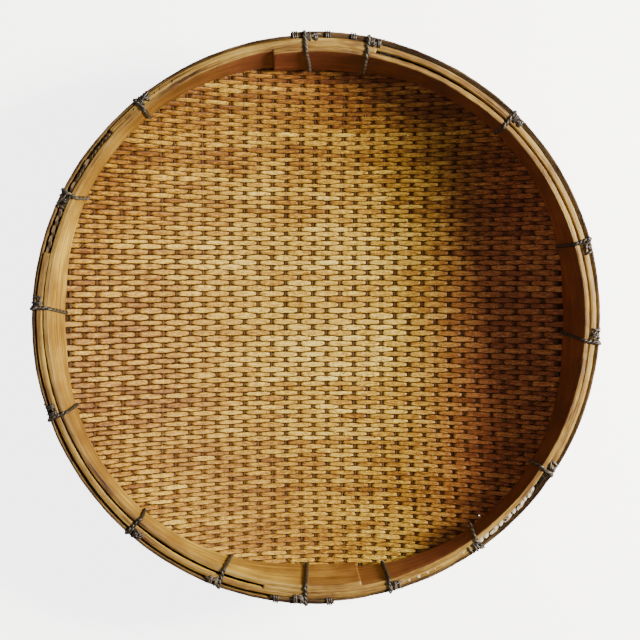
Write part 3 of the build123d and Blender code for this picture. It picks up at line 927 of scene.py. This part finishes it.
def position_of(n):
    return n.tree.nodes.new("ShaderNodeTexCoord").outputs["Object"]


def grain(n, strip, along, across):
    """Fibres that run along a splint: noise that is stretched lengthways."""
    travelled, side, seed = n.split(strip)
    return n.join(n.scaled(travelled, along), n.scaled(side, across), seed)


def weft_stain_and_shade(n, x, y):
    """How red and dark a weft is: more towards the right and the back, and only on the inside. This is
    partly stain and partly painted shade from the hoops.
    """
    right = n.remap(n.total(x, n.scaled(y, -0.05)), *RED_RIGHT)
    back = n.remap(n.total(y, n.scaled(x, 0.35)), *RED_BACK)
    _, _, facing_up = n.split(n.tree.nodes.new("ShaderNodeNewGeometry").outputs["True Normal"])
    return n.scaled(n.math("MAXIMUM", right, n.scaled(back, 0.75)), n.remap(facing_up, -0.3, 0.2))


def weft_joint_shade_and_dirt(n, depth, edge, speck, left):
    """Painted shade and grime under the warps and along a splint's edges, which they cover more where the
    splint dives.
    """
    under = n.scaled(n.remap(depth, 0.985, 0.998), 0.95)
    tucked = n.scaled(n.remap(depth, 0.60, 1.0), 0.36)
    reach = n.total(edge, tucked, n.swing(speck, 0.16), n.scaled(left, 0.12))
    return n.math("MAXIMUM", under, n.scaled(n.remap(reach, 0.62, 0.88), 0.97))


def weft_material():
    """Satin splints: paler and yellower where the base is worn, redder and darker towards the right and the
    back, which is partly stain and partly painted shade, with painted shade and grime in the joints.
    """
    n = Nodes("split bamboo")
    strip = n.attribute("strip")
    tone, depth, edge = n.split(n.attribute("marks"))
    place = position_of(n)
    fibres = n.strong_noise(grain(n, strip, 0.14, 1.3), 1.0, 5.0, 0.70)
    blotch = n.strong_noise(grain(n, strip, 0.20, 0.45), 1.0, 3.0)
    speck = n.strong_noise(grain(n, strip, 0.50, 1.1), 1.0, 4.0, 0.7)
    cloud = n.strong_noise(place, 9.0, 3.0)
    x, y, z = n.split(place)
    radius = n.length(n.join(x, y, 0.0))
    left = n.remap(x, *LEFT_TINT)
    value = n.total(
        n.math("MULTIPLY_ADD", tone, 0.76, 0.06),
        n.swing(fibres, 0.54),
        n.swing(blotch, 0.26),
        n.swing(cloud, 0.16),
        n.math("MULTIPLY_ADD", n.remap(radius, *WORN_MIDDLE), 0.16, -0.04),
        n.scaled(n.remap(radius, *DULL_OUTSIDE), -0.08),
        n.scaled(n.remap(x, *DARK_LEFT), -0.05),
        # painted shade: darker towards the back hoop
        n.scaled(n.remap(y, *BACK_SHADE), -0.16),
        # painted shade: darker where a weft dives below its neighbours and under a warp
        n.scaled(n.remap(depth, 0.45, 0.95), -0.10),
    )
    color = n.mix(left, n.ramp(value, WEFT_STOPS), LEFT_SHADE, "MULTIPLY")
    # redder and darker towards the right and the back: partly stain, partly painted shade
    color = n.mix(n.scaled(weft_stain_and_shade(n, x, y), 0.85), color, n.ramp(value, WEFT_REDS))
    # painted shade and grime in the joints between the splints and under the warps
    shade_and_dirt = weft_joint_shade_and_dirt(n, depth, edge, speck, left)
    color = n.mix(shade_and_dirt, color, UMBER)
    color = n.mix(n.scaled(n.remap(speck, 0.62, 0.84), 0.85), color, BROWN)
    # painted shade: the splints that climb down in the slot between the hoops are darkened
    color = n.mix(n.remap(z, *SLOT_SHADE), color, UMBER)
    end_color = n.mix(n.remap(x, *ENDS_LEFT_TO_RIGHT), DULL_END, GREY_END)
    color = n.mix(n.remap(z, *TRIMMED_ENDS), color, end_color)
    rough = n.math("MULTIPLY_ADD", fibres, 0.18, 0.38)
    height = n.total(n.scaled(fibres, 0.5), n.scaled(speck, -0.25))
    shine = n.math("MULTIPLY_ADD", shade_and_dirt, -0.18, 0.20)
    return n.surface(color, rough, n.bump(height, 0.5, 0.0005), shine)


def warp_material():
    n = Nodes("bamboo warp in joint shade")
    tone, _, _ = n.split(n.attribute("marks"))
    fibres = n.noise(grain(n, n.attribute("strip"), 0.05, 2.0), 1.0, 4.0, 0.6)
    # painted shade: nearly black, as the warps show only in the joints between the floats
    color = n.ramp(n.total(n.scaled(tone, 0.4), n.scaled(fibres, 0.5)), WARP_SHADE_STOPS)
    return n.surface(color, 0.7, n.bump(fibres, 0.3, 0.0004), 0.15)


def lath_material(name, side_stops, edge_stops, streak=0.5, right_and_back_shade=0.0, shadowed=0.0, shine=0.35):
    """Bent bamboo: smooth faces with long streaks, and a paler, fibrous cut edge on top.

    streak is the strength of the streaks. stained is how much painted shade darkens and reddens its faces at
    the back and on the right. shadowed is how much painted shade darkens the face that looks towards the
    weave.
    """
    n = Nodes(name)
    strip = n.attribute("strip")
    _, around, _ = n.split(strip)
    tone, top_face, _ = n.split(n.attribute("marks"))
    place = position_of(n)
    x, y, _ = n.split(place)
    streaks = n.strong_noise(grain(n, strip, 0.014, 0.30), 1.0, 5.0, 0.62)
    fibres = n.strong_noise(grain(n, strip, 0.05, 1.6), 1.0, 3.0)
    stain = n.strong_noise(place, 24.0, 4.0, 0.6)
    specks = n.noise(grain(n, strip, 0.30, 0.9), 1.0, 2.0)
    fray = n.noise(grain(n, strip, 0.10, 0.25), 1.0, 3.0, 0.6)
    value = n.total(n.math("MULTIPLY_ADD", tone, 0.45, 0.37), n.swing(streaks, streak), n.swing(stain, 0.26))
    # painted shade: the faces get darker and redder towards the right and the back
    toward_right = n.total(n.scaled(x, 0.95), n.scaled(y, 0.30))
    right_and_back_shaded = n.scaled(n.remap(toward_right, *RED_LATHS), right_and_back_shade)
    side = n.mix(right_and_back_shaded, n.ramp(value, side_stops), n.ramp(value, LATH_REDS))
    inward_from = OUTER_HOOP_THICKNESS + OUTER_HOOP_HEIGHT
    inward = n.remap(around, inward_from, inward_from + 2.0)
    # painted shade on the face that looks towards the weave, down in the slot
    side = n.mix(n.scaled(inward, shadowed), side, UMBER)
    top = n.ramp(n.total(value, n.math("MULTIPLY_ADD", fibres, 0.40, -0.26)), edge_stops)
    frayed = n.math("MULTIPLY_ADD", fray, 1.2, n.math("SUBTRACT", top_face, 0.6))
    color = n.mix(n.remap(frayed, 0.25, 0.75), side, top)
    color = n.mix(n.scaled(n.remap(specks, 0.68, 0.75), 0.6), color, UMBER)
    height = n.total(n.scaled(streaks, 0.5), n.scaled(fibres, 0.2))
    rough = n.math("MULTIPLY_ADD", streaks, 0.15, 0.40)
    return n.surface(color, rough, n.bump(height, 0.5, 0.0008), shine)


def tie_material():
    n = Nodes("dark cane binding")
    tone, _, _ = n.split(n.attribute("marks"))
    fibres = n.noise(grain(n, n.attribute("strip"), 0.35, 2.5), 1.0, 4.0, 0.65)
    color = n.ramp(n.total(n.scaled(tone, 0.45), n.scaled(fibres, 0.6)), TIE_STOPS)
    return n.surface(color, 0.42, n.bump(fibres, 0.5, 0.0005), 0.5, 0.1)


def make_materials():
    return {
        "weft": weft_material(),
        "warp": warp_material(),
        "inner": lath_material("inner hoop bamboo", INNER_SIDE, INNER_EDGE, streak=0.46, right_and_back_shade=0.95),
        "outer": lath_material("outer hoop bamboo", OUTER_SIDE, OUTER_EDGE, shadowed=0.95, shine=0.10),
        "filler": lath_material("split cane filler", FILLER_SIDE, FILLER_EDGE, streak=0.40),
        "tie": tie_material(),
    }


# ---------------------------------------------------------------- stage, light, camera

FLOOR_HALF, FLOOR_HEIGHT = 6.0, -0.0005
FLOOR_COLOR, FLOOR_GLOW = (0.93, 0.93, 0.93, 1), 4.0
AMBIENT, BACKDROP = 0.14, 2.6  # the world's light on the object, and what the camera sees of it
LIGHT_TARGET = (0, 0, 0.08)
CAMERA_DISTANCE, VIEW_WIDTH = 1.30, 0.6266  # the view's width is measured at the rim
CAMERA_LEFT, CAMERA_BACK = 3.6, 1.9  # degrees that the camera stands off the axis
SENSOR_WIDTH = 36  # millimetres


def floor_material():
    """A pale floor that glows for the camera only, and is clear when it is looked at from below."""
    n = Nodes("pale floor")
    make = n.tree.nodes.new
    plain, glow = make("ShaderNodeBsdfDiffuse"), make("ShaderNodeEmission")
    plain.inputs["Color"].default_value = FLOOR_COLOR
    glow.inputs["Strength"].default_value = FLOOR_GLOW
    bright = make("ShaderNodeAddShader")
    lit, clear_below = make("ShaderNodeMixShader"), make("ShaderNodeMixShader")
    n.link(plain.outputs[0], bright.inputs[0])
    n.link(glow.outputs[0], bright.inputs[1])
    n.link(make("ShaderNodeLightPath").outputs["Is Camera Ray"], lit.inputs[0])
    n.link(plain.outputs[0], lit.inputs[1])
    n.link(bright.outputs[0], lit.inputs[2])
    n.link(make("ShaderNodeNewGeometry").outputs["Backfacing"], clear_below.inputs[0])
    n.link(lit.outputs[0], clear_below.inputs[1])
    n.link(make("ShaderNodeBsdfTransparent").outputs[0], clear_below.inputs[2])
    n.link(clear_below.outputs[0], n.out.inputs["Surface"])
    return n.material


def build_floor():
    mesh = bpy.data.meshes.new("floor")
    sides = ((-1, -1), (1, -1), (1, 1), (-1, 1))
    mesh.from_pydata([(x * FLOOR_HALF, y * FLOOR_HALF, FLOOR_HEIGHT) for x, y in sides], [], [(0, 1, 2, 3)])
    mesh.materials.append(floor_material())
    floor = bpy.data.objects.new("floor", mesh)
    bpy.context.scene.collection.objects.link(floor)


def aim(item, target):
    item.rotation_mode = "QUATERNION"
    item.rotation_quaternion = (Vector(target) - item.location).to_track_quat("-Z", "Y")


def add_light(name, bearing, elevation, distance, size, power, color):
    data = bpy.data.lights.new(name, "AREA")
    data.size, data.energy, data.color = size, power, color
    lamp = bpy.data.objects.new(name, data)
    turn, rise = math.radians(bearing), math.radians(elevation)
    lamp.location = (
        distance * math.cos(rise) * math.sin(turn),
        distance * math.cos(rise) * math.cos(turn),
        distance * math.sin(rise),
    )
    aim(lamp, LIGHT_TARGET)
    bpy.context.scene.collection.objects.link(lamp)


def build_lights():
    add_light("key", 78, 40, 2.2, 0.5, 164, (1.0, 0.93, 0.80))
    add_light("fill", 250, 65, 2.4, 2.2, 10, (1.0, 0.98, 0.95))
    world = bpy.data.worlds.new("studio")
    world.use_nodes = True
    nodes, links = world.node_tree.nodes, world.node_tree.links
    ambient, backdrop = nodes["Background"], nodes.new("ShaderNodeBackground")
    for node, strength in ((ambient, AMBIENT), (backdrop, BACKDROP)):
        node.inputs["Color"].default_value = (1, 1, 1, 1)
        node.inputs["Strength"].default_value = strength
    seen = nodes.new("ShaderNodeMixShader")
    links.new(nodes.new("ShaderNodeLightPath").outputs["Is Camera Ray"], seen.inputs[0])
    links.new(ambient.outputs[0], seen.inputs[1])
    links.new(backdrop.outputs[0], seen.inputs[2])
    links.new(seen.outputs[0], nodes["World Output"].inputs["Surface"])
    bpy.context.scene.world = world


def build_camera():
    data = bpy.data.cameras.new("camera")
    camera = bpy.data.objects.new("camera", data)
    bpy.context.scene.collection.objects.link(camera)
    target = Vector((0, 0, RIM_TOP * MM))
    left, behind = math.sin(math.radians(CAMERA_LEFT)), math.sin(math.radians(CAMERA_BACK))
    back = Vector((-left, behind, 1)).normalized()
    camera.location = target + CAMERA_DISTANCE * back
    right = (Vector((1, 0, 0)) - back * back.x).normalized()
    camera.rotation_euler = Matrix((right, back.cross(right), back)).transposed().to_euler()
    data.sensor_width = SENSOR_WIDTH
    data.lens = SENSOR_WIDTH * CAMERA_DISTANCE / VIEW_WIDTH
    data.clip_end = 20
    bpy.context.scene.camera = camera


materials = make_materials()
warps = warp_positions()
build_wefts(warps, materials)
build_warps(warps, materials)
build_rim(materials)
build_ties(materials)
build_floor()
build_lights()
build_camera()
